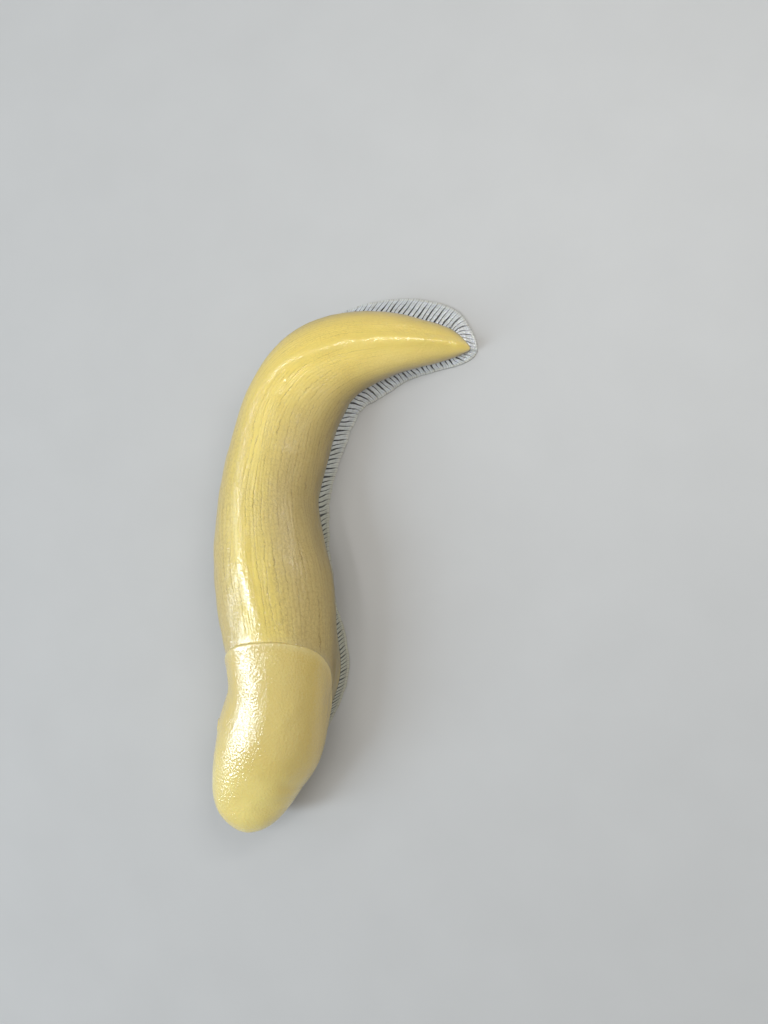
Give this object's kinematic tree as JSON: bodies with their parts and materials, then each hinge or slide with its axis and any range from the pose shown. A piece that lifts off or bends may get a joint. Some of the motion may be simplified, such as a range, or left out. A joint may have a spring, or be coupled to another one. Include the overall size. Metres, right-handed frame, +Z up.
{
  "type": "banana slug",
  "caption": "Life-size still model of a yellow banana slug at rest, head drawn in under the mantle, tail curled aside.",
  "frame": {"origin": "middle of the outline on the floor, at the sole's level", "axes": "+Z up; the animal faces -Y, and its longest side lies along Y; +X is its left at the head, where the tail curls"},
  "size_m": [0.0586, 0.1188, 0.0189],
  "materials": {
    "body_skin": "smooth moist yellow skin, finely wrinkled, under a clear wet gloss",
    "head_skin": "paler, more wrinkled moist skin",
    "skirt_skin": "grey-white ribbed skirt with fine black lines between the ribs",
    "sole_skin": "cream moist sole, faintly banded",
    "eyes": "small glossy black eye spots"
  },
  "bodies": {
    "root": {"mantle": "body_skin", "trunk_front": "body_skin", "trunk_middle": "body_skin", "trunk_rear": "body_skin", "tail": "body_skin", "tail_tip": "body_skin", "neck": "head_skin", "head": "head_skin", "breathing_hole_rim": "head_skin", "optic_tentacle_left": "head_skin", "optic_tentacle_right": "head_skin", "oral_tentacle_left": "head_skin", "oral_tentacle_right": "head_skin", "skirt_left_front": "skirt_skin", "skirt_left_middle": "skirt_skin", "skirt_left_rear": "skirt_skin", "skirt_left_tail": "skirt_skin", "skirt_right_front": "skirt_skin", "skirt_right_middle": "skirt_skin", "skirt_right_rear": "skirt_skin", "skirt_right_tail": "skirt_skin", "foot_front": "sole_skin", "foot_tail_end": "sole_skin", "sole_front": "sole_skin", "sole_middle": "sole_skin", "sole_rear": "sole_skin", "sole_tail": "sole_skin", "eye_left": "eyes", "eye_right": "eyes"}
  },
  "joints": []
}
